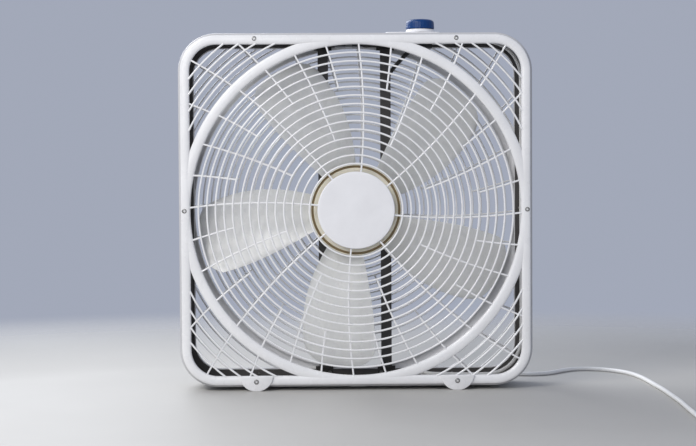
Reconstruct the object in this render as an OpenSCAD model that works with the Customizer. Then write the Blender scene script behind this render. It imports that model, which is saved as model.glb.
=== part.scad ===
// Box fan: a square steel housing between two moulded ring grilles, with a five-blade
// impeller on a motor that hangs between two upright struts. Front faces -Y, +Z is up.

/* [Housing] */
// Width and height of the steel band
housing_w = 528; // [500:1:560]
// Outside radius of the band's corners
housing_corner = 57; // [50:1:65]
// Depth of the band, from flange to flange
band_depth = 93; // [90:1:110]
// Thickness of the sheet steel
sheet = 1; // [0.6:0.1:1.4]
// How far the flanges turn in
flange_w = 17; // [15:0.5:18]
// Outside radius of the rolled edges
roll_r = 3.5; // [2:0.5:5]

/* [Grilles] */
// Width of the rim around each grille
rim_w = 13.5; // [12:0.5:15]
// Height of the rim over the flange
rim_h = 8; // [7:0.5:10]
// How far the rim stands in from the band's outer face
rim_inset = 3.5; // [2:0.5:5]
// Inside radius of the large ring band
hoop_r = 246.7; // [246:0.1:248]
// Width of the large ring band
hoop_w = 15.8; // [13:0.1:17]
// Number of ring wires
ring_count = 14; // [10:1:14]
// Radius of the innermost ring wire
ring_first = 69.5; // [68:0.5:72]
// Distance from ring to ring
ring_pitch = 12.7; // [12:0.1:12.8]
// Width of the wires
wire_w = 2.8; // [2:0.1:4]
// Radius of the curve that each spoke follows
spoke_curve = 833; // [700:1:1000]
// Radius of the centre cap
cap_r = 57.6; // [50:0.1:60]

/* [Impeller] */
// Number of blades
blade_count = 5; // [3:1:5]
// Radius at the blades' tips
tip_r = 240; // [225:1:241]
// Radius of the hub
hub_r = 68.5; // [66:0.5:70]
// Thickness of the blades
blade_t = 2.6; // [2:0.1:4]
// Direction of the first blade's middle, in degrees
blade_turn = 40; // [0:1:71]

/* [Motor] */
// Radius of the laminations
core_r = 48; // [47:0.5:50]
// Radius of the motor's shells
shell_r = 42; // [41:0.5:42]
// Radius of the shaft
shaft_r = 4; // [4:0.5:5]
// Distance of each strut's middle from the centre
strut_x = 48; // [47:0.5:50]
// Width of the struts
strut_w = 16; // [15:0.5:17]

/* [Speed control] */
// Distance of the knob from the middle, to the right
knob_x = 99.5; // [94:0.5:104]
// Diameter of the knob
knob_d = 43; // [38:1:46]
// Height of the knob
knob_h = 15; // [12:0.5:18]

/* [Feet] */
// Height of the housing over the floor
foot_h = 5; // [4:0.5:6]
// Distance of the feet and screws from the middle
screw_x = 150; // [140:1:155]
// Radius of the half-round feet
foot_r = 25.6; // [25.4:0.1:27]

/* [Cord] */
// Diameter of the supply cord
cord_d = 6.5; // [6:0.1:6.6]
// Middle radius of the coiled part
coil_r = 36; // [34:0.5:38]

/* [Hidden] */
$fn = 96;
half = housing_w / 2;
centre_z = foot_h + half;
seat = band_depth / 2;
crown = seat + rim_h;
rim_outer = half - rim_inset;
rim_inner = rim_outer - rim_w;
rim_corner = housing_corner - rim_inset - rim_w;
flange_inner = half - flange_w;
screw_line = rim_outer - 5.3;
front_holes = [[-screw_x, screw_line], [screw_x, screw_line], [-screw_line, 0], [screw_line, 0]];
foot_holes = [[-screw_x, -screw_line], [screw_x, -screw_line]];
spoke_step = 360 / 32;
spoke_lead = asin(280.6 / (2 * spoke_curve));
corner_curve = 706;
corner_lead = asin(271 / (2 * corner_curve));
corner_first = 275.2;
corner_pitch = 13.55;
ring_back = seat + 2.5;
wire_h = 4;
rear_disc_r = 70;
plate_t = 2.5;
foot_centre = half + foot_h - foot_r + 0.6;

strut_front = -36.3;
strut_steel = 1.2;
strut_back = 1 - seat;
strut_end = flange_inner - 1;
mount_y = 22;
core_back = -12;
core_front = 8;
lip_t = 1.5;
bolt_r = 45;
bush_r = 9;
bush_l = 10;
running_gap = 0.03;
rear_cup = -33.3;
front_cup = 24;
shaft_back = -31;
shaft_front = 43;
hub_front = 36;
hub_back = -15;

top_z = housing_w + foot_h;
plate_h = 3;
collar_h = 5;
knob_z = top_z + plate_h + collar_h + 0.5;
bushing_r = 4.8;
spindle_r = 3;
switch_w = 34;
switch_h = 20;

exit_x = 105;
exit_y = 84.5;
exit_z = 15;
exit_r = 5.5;
coil_at = [479, -440];
coil_half = cord_d;

// The cord's route from the boot to the coil
cord_route = [
    [105, 84.5, 15], [105, 97, 15], [105.5, 111, 14], [108, 124, 11.4], [113, 136, 8.2],
    [121, 146, 5.3], [133, 152, 3.6], [149, 153, 3.3], [168, 148, 3.3], [190, 138, 3.3],
    [214, 125, 3.3], [238, 112, 3.3], [262, 103, 3.3], [285, 101, 3.3], [306, 109, 3.3],
    [322, 125, 3.3],
    [337, 144, 3.3], [355, 159, 3.3], [377, 163, 3.3], [399, 155, 3.3], [418, 138, 3.3],
    [432, 115, 3.3], [441, 85, 3.3], [446, 45, 3.3], [448, 0, 3.3], [449, -50, 3.3],
    [450, -105, 3.3], [449, -160, 3.3], [448, -215, 3.3], [445, -270, 3.3], [442, -325, 3.3],
    [440, -370, 3.3], [439.5, -405, 3.3], [439.7, -440, 3.3]
];
// The black sleeve from the switch into the right strut and out to the motor
sleeve_r = 3.2;
sleeve_route = [
    [88, 17, 517], [88, 24, 516], [86, 32, 512], [80, 38, 506], [72, 41, 498], [64, 42, 489],
    [56, 42, 479], [50, 42, 467], [48, 42, 452], [48, 42, 428], [48, 42, 400], [48, 42, 372],
    [48, 42, 348], [46, 42, 337], [41, 41, 326], [35, 39, 318], [32, 35, 310], [30, 31, 303],
    [29, 27, 298]
];
// The supply lead inside the housing, from the cord's bushing up to the switch
lead_r = 3;
lead_route = [
    [105, 44, 15], [106, 37, 15], [111, 30, 14.6], [121, 26, 14], [140, 26, 13.5],
    [168, 26, 13], [195, 26, 13], [212, 26, 14], [228, 26, 20], [241, 26, 30], [250, 26, 44], [255, 26, 60],
    [256, 26, 90], [256, 26, 180], [256, 26, 269], [256, 26, 358], [256, 26, 448],
    [255, 26, 478], [250, 26, 494], [241, 26, 508], [228, 26, 518], [212, 26, 524],
    [195, 26, 525], [165, 25, 525], [145, 20, 524], [132, 11, 522], [116.5, 8, 522]
];

white = "white";
steel = "silver";
dark = [0.16, 0.15, 0.15];

// ---- Helpers ----

// In here +X is right, +Y is up and +Z comes out of the front, about the fan's axis
module facing() translate([0, 0, centre_z]) rotate([90, 0, 0]) children();

function arc(x, y, r, from, to, n) =
    [for (i = [0:n]) let (a = from + (to - from) * i / n) [x + r * cos(a), y + r * sin(a)]];

function square_outline(w, r) = concat(
    arc(w - r, w - r, r, 0, 90, 12), arc(r - w, w - r, r, 90, 180, 12),
    arc(r - w, r - w, r, 180, 270, 12), arc(w - r, r - w, r, 270, 360, 12));

// Sweeps a section round a square; the section's x runs outwards from the inner edge
module square_sweep(inner, corner) {
    straight = inner - corner;
    for (side = [0:3]) rotate([0, 0, 90 * side]) {
        translate([inner, straight, 0])
            rotate([90, 0, 0])
                linear_extrude(2 * straight) children();
        translate([straight, straight, 0])
            rotate_extrude(angle = 90)
                translate([corner, 0]) children();
    }
}

// A flat wire on a circle
module ring_wire(r, z) {
    rotate_extrude($fn = 180) translate([r - wire_w / 2, z]) square([wire_w, wire_h]);
}

// A curved spoke between two radii, on a circle through the fan's axis
module spoke(number, from, to, curve, lead, z) {
    first = 2 * asin(from / (2 * curve));
    last = 2 * asin(to / (2 * curve));
    rotate([0, 0, spoke_step * number - lead])
        translate([0, curve, 0])
            rotate([0, 0, first - 90])
                rotate_extrude(angle = last - first, $fn = 720)
                    translate([curve - wire_w / 2, z]) square([wire_w, wire_h]);
}

// Pan-headed screw along Z, its head's underside at the origin and its shank below
module screw(head_r, head_h, shank_r, length) {
    difference() {
        union() {
            cylinder(h = head_h, r1 = head_r, r2 = head_r * 0.75);
            translate([0, 0, -length]) cylinder(h = length + 0.1, r = shank_r);
        }
        for (turn = [0, 90]) rotate([0, 0, turn])
            translate([-head_r * 0.5, -0.4, head_h - 0.9]) cube([head_r, 0.8, 1]);
    }
}

// Hexagonal nut on the origin, with a round bore
module nut(across_corners_r, bore_r, h) {
    difference() {
        cylinder(h = h, r = across_corners_r, $fn = 6);
        translate([0, 0, -1]) cylinder(h = h + 2, r = bore_r);
    }
}

function unit(v) = v / norm(v);
function blend(a, b, c, d, t) = 0.5 * ((2 * b) + (c - a) * t
    + (2 * a - 5 * b + 4 * c - d) * t * t + (3 * b - a - 3 * c + d) * t * t * t);

// The route with one smooth point put between each pair
function smooth(p) = let (n = len(p)) concat(
    [for (i = [0:n - 2]) each [p[i],
        blend(p[max(i - 1, 0)], p[i], p[i + 1], p[min(i + 2, n - 1)], 0.5)]], [p[n - 1]]);

function heading(p, i) = unit(p[min(i + 1, len(p) - 1)] - p[max(i - 1, 0)]);
function level(side, along) = unit(side - (side * along) * along);

// A round tube along points, its rings carried round without twisting
module tube(points, r, sides, start) {
    n = len(points);
    across = [for (i = 0, s = level(start, heading(points, 0)); i < n; i = i + 1,
        s = i < n ? level(s, heading(points, i)) : s) s];
    rings = [for (i = [0:n - 1]) let (h = heading(points, i), u = across[i], v = cross(h, u))
        each [for (k = [0:sides - 1])
            points[i] + r * (cos(360 * k / sides) * u + sin(360 * k / sides) * v)]];
    walls = [for (i = [0:n - 2], k = [0:sides - 1]) let (m = (k + 1) % sides)
        [i * sides + k, (i + 1) * sides + k, (i + 1) * sides + m, i * sides + m]];
    polyhedron(rings, concat([[for (k = [0:sides - 1]) k]], walls,
        [[for (k = [sides - 1:-1:0]) (n - 1) * sides + k]]), convexity = 10);
}

// ---- Housing ----

module band_section() {
    w = flange_w;
    z = seat;
    inner = roll_r - sheet;
    polygon(concat(
        [[0, z]], arc(w - roll_r, z - roll_r, roll_r, 90, 0, 4),
        arc(w - roll_r, roll_r - z, roll_r, 0, -90, 4), [[0, -z], [0, sheet - z]],
        arc(w - roll_r, roll_r - z, inner, -90, 0, 4),
        arc(w - roll_r, z - roll_r, inner, 0, 90, 4), [[0, z - sheet]]));
}

module housing_band() color(white) {
    difference() {
        facing() square_sweep(flange_inner, housing_corner - flange_w) band_section();
        facing() for (p = concat(front_holes, foot_holes), side = [-1, 1])
            translate([p[0], p[1], side * seat - 3]) cylinder(h = 6, r = 1.9);
        facing() for (x = [-1, 1], y = [-1, 1], dx = [-8, 8])
            translate([x * strut_x + dx, y * (strut_end + 8), -seat - 3]) cylinder(h = 6, r = 1.6);
        facing() translate([exit_x, exit_z - centre_z, -seat - 3]) cylinder(h = 6, r = exit_r);
        translate([knob_x, 0, top_z - 3]) cylinder(h = 6, r = 5);
    }
}

// ---- Grilles ----

module rim_section() {
    w = rim_w;
    h = rim_h;
    polygon([[0, 0], [0, h - 3.4], [2.2, h - 1.1], [5.5, h], [w - 5.5, h], [w - 2.2, h - 1.1],
        [w, h - 3.4], [w, 0], [w - 2, 0], [w - 2, h - 4.4], [w - 4, h - 2.4], [4, h - 2.4],
        [2, h - 4.4], [2, 0]]);
}

module hoop_section() {
    w = hoop_w;
    h = rim_h - 1.2;
    polygon([[0, 0.5], [0, h - 2.8], [3.4, h], [w - 3.4, h], [w, h - 2.8], [w, 0.5]]);
}

// Spokes start at the disc, at the fourth ring or at the tenth
function spoke_from(number, disc_r) =
    number % 4 == 0 ? disc_r - 2
    : number % 4 == 2 ? ring_first + 3 * ring_pitch
    : ring_first + 9 * ring_pitch;

module grille(disc_r, first_ring, bosses) {
    difference() {
        union() {
            square_sweep(rim_inner, rim_corner) translate([0, seat]) rim_section();
            intersection() {
                rotate_extrude($fn = 180) translate([hoop_r, seat]) hoop_section();
                translate([0, 0, seat]) linear_extrude(rim_h)
                    polygon(square_outline(rim_outer - 1, rim_corner + rim_w - 1));
            }
            for (i = [first_ring:ring_count - 1])
                ring_wire(ring_first + ring_pitch * i, ring_back + 1);
            for (n = [0:31])
                spoke(n, spoke_from(n, disc_r), hoop_r + 1.4, spoke_curve, spoke_lead, ring_back);
            intersection() {
                translate([0, 0, seat]) linear_extrude(rim_h)
                    polygon(square_outline(rim_inner + 1.1, rim_corner + 1.1));
                union() {
                    for (i = [0:3]) ring_wire(corner_first + corner_pitch * i, ring_back + 1);
                    for (q = [0:3], n = [3:5])
                        spoke(8 * q + n, hoop_r + hoop_w - 1.4, 336, corner_curve, corner_lead,
                            ring_back);
                }
            }
            for (p = bosses) translate([p[0], p[1], seat]) cylinder(h = rim_h - 1.2, r = 4.6);
        }
        for (p = bosses) translate([p[0], p[1], seat]) {
            translate([0, 0, -1]) cylinder(h = rim_h + 2, r = 2.1);
            translate([0, 0, rim_h - 2.4]) cylinder(h = 4, r = 4);
        }
    }
}

module front_grille() color(white) facing() {
    grille(cap_r, 0, concat(front_holes, foot_holes));
    difference() {
        translate([0, 0, ring_back - 0.5]) cylinder(h = wire_h + 1, r = cap_r - 0.6);
        translate([0, 0, ring_back - 1]) cylinder(h = wire_h + 2, r = cap_r - 8);
    }
}

module front_cap() color(white) facing() translate([0, 0, ring_back]) {
    translate([0, 0, wire_h + 0.5]) rotate_extrude()
        polygon(concat([[0, 0]], arc(cap_r - 1, 1, 1, -90, 90, 6), [[0, 2]]));
    translate([0, 0, -1]) difference() {
        cylinder(h = wire_h + 1.6, r = cap_r - 8);
        translate([0, 0, -1]) cylinder(h = wire_h + 4, r = cap_r - 10);
    }
}

module rear_grille() color(white) facing() mirror([0, 0, 1]) {
    difference() {
        union() {
            grille(rear_disc_r, 1, concat(front_holes, foot_holes));
            translate([0, 0, ring_back]) cylinder(h = wire_h, r = rear_disc_r);
            translate([exit_x, exit_z - centre_z, seat]) cylinder(h = rim_h, r = exit_r + 1.5);
        }
        translate([exit_x, exit_z - centre_z, seat - 1]) cylinder(h = rim_h + 4, r = exit_r);
    }
}

// ---- Struts ----

module strut(side, openings) {
    left = side * strut_x - strut_w / 2;
    depth = strut_front - strut_back;
    difference() {
        union() {
            translate([left, -strut_end, strut_front - strut_steel])
                cube([strut_w, 2 * strut_end, strut_steel]);
            for (x = [left, left + strut_w - strut_steel])
                translate([x, -strut_end, strut_back]) cube([strut_steel, 2 * strut_end, depth]);
            for (y = [-1, 1])
                translate([side * strut_x - 13.5, y * (strut_end + 6.5) - 8.5, strut_back])
                    cube([27, 17, strut_steel]);
        }
        for (y = [-1, 1], dx = [-8, 8])
            translate([side * strut_x + dx, y * (strut_end + 8), strut_back - 1])
                cylinder(h = 4, r = 1.9);
        for (y = [-1, 1])
            translate([side * strut_x, y * mount_y, strut_front - 3]) cylinder(h = 4, r = 2.2);
        for (box = openings) translate(box[0]) cube(box[1]);
    }
}

module left_strut() color(dark) facing() strut(-1, []);

module right_strut() color(dark) facing() strut(1, [
    [[strut_x + 5, 196, strut_back - 1], [8, 36, 8]],
    [[strut_x - 13, 46, strut_back - 1], [8, 26, 8]]
]);

module strut_screws() color(steel) facing()
    for (x = [-1, 1], y = [-1, 1], dx = [-8, 8])
        translate([x * strut_x + dx, y * (strut_end + 8), strut_back + strut_steel])
            screw(3.2, 2, 1.6, 2.6);

// ---- Motor ----

module motor_rear_shell() color(steel) facing() {
    difference() {
        union() {
            translate([-56, -30, strut_front]) cube([112, 60, rear_cup - strut_front]);
            translate([0, 0, rear_cup - 1]) cylinder(h = core_back - rear_cup + 1, r = shell_r);
            translate([0, 0, core_back - lip_t]) cylinder(h = lip_t, r = core_r);
        }
        translate([0, 0, rear_cup + 2]) difference() {
            cylinder(h = 30, r = shell_r - 1.5);
            cylinder(h = bush_l, r = bush_r + 2);
        }
        translate([0, 0, strut_front - 1]) cylinder(h = 30, r = bush_r);
        for (x = [-1, 1], y = [-1, 1])
            translate([x * strut_x, y * mount_y, strut_front - 1]) cylinder(h = 9, r = 2.2);
        motor_bolt_holes();
    }
}

module motor_bolt_holes() {
    for (turn = [45:90:315]) rotate([0, 0, turn])
        translate([bolt_r, 0, core_back - 5]) cylinder(h = 40, r = 1.8);
}

module motor_front_shell() color(steel) facing() {
    difference() {
        union() {
            translate([0, 0, core_front]) cylinder(h = front_cup - core_front, r = shell_r);
            translate([0, 0, core_front]) cylinder(h = lip_t, r = core_r);
        }
        translate([0, 0, core_front - 1]) difference() {
            cylinder(h = front_cup - core_front - 1, r = shell_r - 1.5);
            translate([0, 0, 5]) cylinder(h = bush_l + 4, r = bush_r + 2);
        }
        translate([0, 0, core_front - 1]) cylinder(h = 30, r = bush_r);
        motor_bolt_holes();
    }
}

module stator_core() color(steel) facing() difference() {
    translate([0, 0, core_back]) cylinder(h = core_front - core_back, r = core_r);
    translate([0, 0, core_back - 1]) cylinder(h = core_front - core_back + 2, r = 27);
    motor_bolt_holes();
}

module windings() color("chocolate") facing()
    for (side = [-1, 1]) translate([0, 0, side < 0 ? core_back - 12 : core_front])
        difference() {
            cylinder(h = 12, r = 39.5);
            translate([0, 0, -1]) cylinder(h = 14, r = 29);
        }

module rotor() color("dimgray") facing() difference() {
    union() {
        translate([0, 0, core_back]) cylinder(h = core_front - core_back, r = 26.6);
        translate([0, 0, core_back - 3]) cylinder(h = core_front - core_back + 6, r = 23);
    }
    translate([0, 0, core_back - 4]) cylinder(h = core_front - core_back + 8, r = shaft_r);
}

module shaft() color(steel) facing() difference() {
    translate([0, 0, shaft_back]) cylinder(h = shaft_front - shaft_back, r = shaft_r);
    translate([shaft_r - 1, -shaft_r, front_cup + 2]) cube([3, 2 * shaft_r, 9]);
}

module thrust_washers() color("tan") facing()
    for (z = [rear_cup + 2.4 + bush_l, core_front + 3.1]) translate([0, 0, z]) difference() {
        cylinder(h = 0.8, r = 7);
        translate([0, 0, -1]) cylinder(h = 3, r = shaft_r);
    }

module bearing(z) translate([0, 0, z]) difference() {
    cylinder(h = bush_l, r = bush_r);
    translate([0, 0, -1]) cylinder(h = bush_l + 2, r = shaft_r + running_gap);
}

module front_bearing() color("goldenrod") facing() bearing(front_cup - bush_l - 2);

module rear_bearing() color("goldenrod") facing() bearing(rear_cup + 2);

module motor_through_bolts() color(steel) facing()
    for (turn = [45:90:315]) rotate([0, 0, turn])
        translate([bolt_r, 0, core_front + lip_t])
            screw(3, 2, 1.8, core_front - core_back + 2 * lip_t + 4);

module motor_through_nuts() color(steel) facing()
    for (turn = [45:90:315]) rotate([0, 0, turn])
        translate([bolt_r, 0, core_back - lip_t - 2.4]) nut(3, 1.8, 2.4);

module motor_mount_screws() color(steel) facing()
    for (x = [-1, 1], y = [-1, 1])
        translate([x * strut_x, y * mount_y, rear_cup]) screw(3.6, 2.4, 2.2, 8.4);

module motor_mount_nuts() color(steel) facing()
    for (x = [-1, 1], y = [-1, 1])
        translate([x * strut_x, y * mount_y, strut_front - strut_steel - 3]) nut(4, 2.2, 3);

// ---- Impeller ----

// The blade leads at the back, where the air comes in, and trails at the front
function blade_span(u) = 46 - 6 * u - 12 * u * u;
function blade_rise(u) = 44 - 4 * u;
function blade_point(u, v, side) =
    let (
        edge = abs(2 * v - 1),
        r = hub_r - 1.6 + (tip_r - hub_r + 1.6 - 20 * pow(edge, 4)) * u,
        a = (v - 0.5) * blade_span(u) + 7 * u,
        camber = 5 * u * (1 - edge * edge),
        z = 8 + (v - 0.5) * blade_rise(u) - camber + side * blade_t * (0.62 - 0.1 * u)
            * (1 - 0.5 * pow(edge, 6))
    )
    [r * cos(a), r * sin(a), z];

module blade() {
    rows = 12;
    cols = 10;
    per = cols + 1;
    layer = (rows + 1) * per;
    points = [for (side = [-1, 1], i = [0:rows], k = [0:cols])
        blade_point(i / rows, k / cols, side)];
    skin = [for (i = [0:rows - 1], k = [0:cols - 1]) let (a = i * per + k)
        each [[a, a + per, a + 1], [a + 1, a + per, a + per + 1]]];
    over = [for (f = skin) [f[2] + layer, f[1] + layer, f[0] + layer]];
    ends = [for (k = [0:cols - 1], i = [0, rows]) let (a = i * per + k, b = a + 1)
        each i == 0 ? [[a, b, b + layer], [a, b + layer, a + layer]]
            : [[b, a, a + layer], [b, a + layer, b + layer]]];
    sides = [for (i = [0:rows - 1], k = [0, cols]) let (a = i * per + k, b = a + per)
        each k == 0 ? [[b, a, a + layer], [b, a + layer, b + layer]]
            : [[a, b, b + layer], [a, b + layer, a + layer]]];
    polyhedron(concat(points), concat(skin, over, ends, sides), convexity = 6);
}

module hub() {
    wall = 3;
    face = hub_front - 3;
    rotate_extrude() polygon([
        [shaft_r, front_cup + 1.5], [11, front_cup + 1.5], [11, face], [hub_r - wall, face],
        [hub_r - wall, hub_back],
        [hub_r, hub_back], [hub_r, hub_front - 1.5], [hub_r - 1.5, hub_front],
        [hub_r - 1.9, hub_front], [hub_r - 2.3, hub_front - 1.6], [hub_r - 4, hub_front - 1.6],
        [hub_r - 4.8, hub_front],
        [16, hub_front], [15, hub_front - 1.6], [shaft_r, hub_front - 1.6]]);
    for (turn = [0:60:300]) rotate([0, 0, turn])
        translate([10, -1, front_cup + 3]) cube([hub_r - wall - 9, 2, face - front_cup - 2]);
}

module fan_blade() color("gainsboro") facing() {
    hub();
    for (i = [0:blade_count - 1]) rotate([0, 0, blade_turn + 360 / blade_count * i]) blade();
}

module blade_nut() color(steel) facing() translate([0, 0, hub_front - 1.6]) {
    difference() {
        union() {
            cylinder(h = 1.6, r = 9.5);
            cylinder(h = 6.5, r = 7.5, $fn = 6);
        }
        translate([0, 0, -1]) cylinder(h = 10, r = shaft_r);
    }
}

// ---- Speed control ----

module switch_plate() color(white) difference() {
    translate([knob_x - 53, 0, top_z]) linear_extrude(plate_h)
        polygon(concat(arc(76, 16, 6, 0, 90, 4), arc(6, 16, 6, 90, 180, 4),
            arc(6, -16, 6, 180, 270, 4), arc(76, -16, 6, 270, 360, 4)));
    translate([knob_x, 0, top_z - 1]) cylinder(h = plate_h + 2, r = 5);
}

module knob_collar() color(white) translate([knob_x, 0, top_z + plate_h]) rotate_extrude()
    polygon([[9, 0], [knob_d / 2 + 1, 0], [knob_d / 2 + 1, 1.5], [knob_d / 2 - 0.5, 3],
        [knob_d / 2 - 0.5, collar_h], [9, collar_h]]);

module knob() color("navy") translate([knob_x, 0, knob_z]) difference() {
    r = knob_d / 2;
    rotate_extrude() polygon(concat([[spindle_r, 0], [6, 0], [6, 2], [r - 4, 2], [r - 3, 0],
        [r, 0]], arc(r - 3, knob_h - 3.6, 2.6, 12, 78, 4), [[0.6 * r, knob_h - 0.6],
        [0, knob_h], [0, knob_h - 3.5], [spindle_r, knob_h - 3.5]]));
    translate([-0.8, r - 12, knob_h - 1.4]) cube([1.6, 9, 4]);
}

module switch_body() color(dark) translate([knob_x, 0, top_z - sheet]) difference() {
    union() {
        translate([-switch_w / 2, -switch_w / 2, -switch_h]) cube([switch_w, switch_w, switch_h]);
        cylinder(h = plate_h + sheet + 4, r = bushing_r);
    }
    translate([0, 0, -12]) cylinder(h = 30, r = spindle_r + 0.05);
}

module switch_spindle() color(steel)
    translate([knob_x, 0, top_z - sheet - 11])
        cylinder(h = knob_z - top_z + knob_h - 3.5 + sheet + 11, r = spindle_r);

module switch_nut() color(steel) translate([knob_x, 0, top_z + plate_h]) nut(7.5, bushing_r, 3);

module capacitor() color("gray") translate([-30, -13, top_z - sheet - 17]) cube([42, 26, 17]);

module capacitor_strap() color(steel) translate([-14, 0, top_z - sheet]) difference() {
    union() {
        translate([0, -14, -18]) cube([10, 28, 18]);
        translate([0, -24, -1]) cube([10, 48, 1]);
    }
    translate([-1, -13, -17]) cube([12, 26, 18]);
}

module capacitor_leads() color("black") for (y = [-4, 4])
    translate([12, y, top_z - 10]) rotate([0, 90, 0])
        cylinder(h = knob_x - switch_w / 2 - 12, r = 1.4);

module harness_sleeve() color("black") tube(sleeve_route, sleeve_r, 10, [0, 0, 1]);

module supply_lead() color("white") tube(lead_route, lead_r, 8, [0, 0, 1]);

// ---- Feet and screws ----

module foot_outline(top) intersection() {
    translate([0, -foot_centre]) circle(r = foot_r);
    translate([-40, -half - foot_h]) square([80, half + foot_h - top]);
}

module foot(x) translate([x, 0, 0]) difference() {
    union() {
        translate([0, 0, -crown]) linear_extrude(2 * crown) foot_outline(half);
        for (z = [-crown - plate_t, crown])
            translate([0, 0, z]) linear_extrude(plate_t) foot_outline(rim_inner);
    }
    for (z = [-crown - plate_t - 1, crown - 1])
        translate([0, -screw_line, z]) cylinder(h = plate_t + 2, r = 2.1);
    for (side = [-1, 1])
        translate([0, -screw_line, side * (crown + plate_t) - 1.6]) cylinder(h = 3.2, r = 4);
}

module left_foot() color(white) facing() foot(-screw_x);

module right_foot() color(white) facing() foot(screw_x);

module foot_screws() color(steel) facing() for (p = foot_holes, side = [0, 1])
    translate([p[0], p[1], 0]) mirror([0, 0, side])
        translate([0, 0, crown + plate_t - 1.6]) screw(3.6, 1.5, 1.9, 13);

module grille_screws() for (p = front_holes)
    translate([p[0], p[1], crown - 2.4]) screw(3.6, 2, 1.9, 10);

module front_grille_screws() color(steel) facing() grille_screws();

module rear_grille_screws() color(steel) facing() mirror([0, 0, 1]) grille_screws();

// ---- Supply cord ----

module cord_boot() color(white) translate([exit_x, 0, exit_z]) rotate([-90, 0, 0]) {
    translate([0, 0, seat - 2.5]) cylinder(h = rim_h + 2.5, r = exit_r - 0.05);
    translate([0, 0, crown]) cylinder(h = 2, r = 7);
    translate([0, 0, crown + 2]) cylinder(h = exit_y - crown - 2, r1 = 5.4, r2 = 4.2);
}

module cord_tube() color(white) tube(smooth(cord_route), cord_d / 2, 8, [0, 0, 1]);

module cord_coil() color(white) translate([coil_at[0], coil_at[1], 0]) rotate_extrude()
    translate([coil_r - coil_half, 0]) square([2 * coil_half, 2 * coil_half]);

module cord_tie() color("black") translate([coil_at[0], coil_at[1] - coil_r, 0]) difference() {
    translate([-3.5, -coil_half - 0.8, 0]) cube([7, 2 * coil_half + 1.6, 2 * coil_half + 0.8]);
    translate([-4, -coil_half + 0.2, 0.6]) cube([8, 2 * coil_half - 0.4, 2 * coil_half - 0.8]);
}

module plug_body() color(white) translate([coil_at[0] + coil_r + cord_d / 2, coil_at[1], 0]) {
    translate([0, 16, 7]) rotate([-90, 0, 0]) cylinder(h = 14, r1 = 4.2, r2 = 5.6);
    translate([-12, 30, 0]) linear_extrude(14)
        polygon([[0, 3], [4, 0], [20, 0], [24, 3], [22, 24], [2, 24]]);
}

module plug_blades() color(steel) for (x = [-6.35, 6.35])
    translate([coil_at[0] + coil_r + cord_d / 2 + x - 0.75, coil_at[1] + 54, 4])
        cube([1.5, 17, 6.3]);

housing_band();
front_grille();
front_cap();
rear_grille();
left_strut();
right_strut();
strut_screws();
motor_rear_shell();
motor_front_shell();
stator_core();
windings();
rotor();
shaft();
thrust_washers();
front_bearing();
rear_bearing();
motor_through_bolts();
motor_through_nuts();
motor_mount_screws();
motor_mount_nuts();
fan_blade();
blade_nut();
switch_plate();
knob_collar();
knob();
switch_body();
switch_spindle();
switch_nut();
capacitor();
capacitor_strap();
capacitor_leads();
harness_sleeve();
supply_lead();
left_foot();
right_foot();
foot_screws();
front_grille_screws();
rear_grille_screws();
cord_boot();
cord_tube();
cord_coil();
cord_tie();
plug_body();
plug_blades();
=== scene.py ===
"""A box fan's visual model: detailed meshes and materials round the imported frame."""

import math

import bmesh
import bpy
from mathutils import Matrix, Vector


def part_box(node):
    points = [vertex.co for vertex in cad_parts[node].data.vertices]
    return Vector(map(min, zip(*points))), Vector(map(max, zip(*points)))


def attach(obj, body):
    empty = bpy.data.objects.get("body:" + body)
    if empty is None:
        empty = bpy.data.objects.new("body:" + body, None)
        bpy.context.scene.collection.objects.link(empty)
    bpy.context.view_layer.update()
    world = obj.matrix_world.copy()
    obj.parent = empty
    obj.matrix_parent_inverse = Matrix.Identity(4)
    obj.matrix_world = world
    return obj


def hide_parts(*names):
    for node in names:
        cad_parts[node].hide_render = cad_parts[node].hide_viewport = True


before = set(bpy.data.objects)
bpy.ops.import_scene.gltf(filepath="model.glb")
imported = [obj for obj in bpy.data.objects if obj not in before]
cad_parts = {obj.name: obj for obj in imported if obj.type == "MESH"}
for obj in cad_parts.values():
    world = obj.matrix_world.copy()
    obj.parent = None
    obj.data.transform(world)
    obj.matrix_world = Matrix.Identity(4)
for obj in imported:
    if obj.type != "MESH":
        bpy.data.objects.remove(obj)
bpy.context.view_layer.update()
MM = 0.001


def middle(box):
    return tuple((low + high) / 2 for low, high in zip(*box))


# ---- Measures taken from the frame ----

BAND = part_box("housing_band")
HALF = BAND[1].x
CENTRE = middle(BAND)[2]
SEAT = BAND[1].y
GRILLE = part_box("front_grille")
RIM_OUTER = GRILLE[1].x
CROWN = -GRILLE[0].y
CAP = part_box("front_cap")
CAP_R = CAP[1].x
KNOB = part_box("knob")
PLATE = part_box("switch_plate")
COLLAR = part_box("knob_collar")
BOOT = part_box("cord_boot")
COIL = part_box("cord_coil")
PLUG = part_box("plug_body")
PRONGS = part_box("plug_blades")
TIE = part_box("cord_tie")

# ---- Sizes of the object that the frame's boxes don't give ----

SHEET = 1 * MM
FLANGE_W = 15.5 * MM
ROLL_R = 3.5 * MM
BAND_CORNER = 57 * MM
RIM_W = 13.5 * MM
RIM_INNER = RIM_OUTER - RIM_W
RIM_CORNER = 40 * MM
HOOP_R = 246.7 * MM
HOOP_W = 15.8 * MM
RING_COUNT = 14
RING_FIRST = 69.5 * MM
RING_PITCH = 12.7 * MM
WIRE_W = 2.8 * MM
WIRE_D = 4 * MM
SPOKES = 32
SPOKE_CURVE = 833 * MM
SPOKE_SQUARE = 280.6 * MM
CORNER_CURVE = 706 * MM
CORNER_SQUARE = 271 * MM
CORNER_FIRST = 275.2 * MM
CORNER_PITCH = 13.55 * MM
REAR_DISC_R = 70 * MM
HUB_R = 68.5 * MM
HUB_FRONT = 36 * MM
HUB_BACK = -15 * MM
TIP_R = 240 * MM
BLADES = 5
BLADE_TURN = 40
BLADE_T = 2.6 * MM
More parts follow.
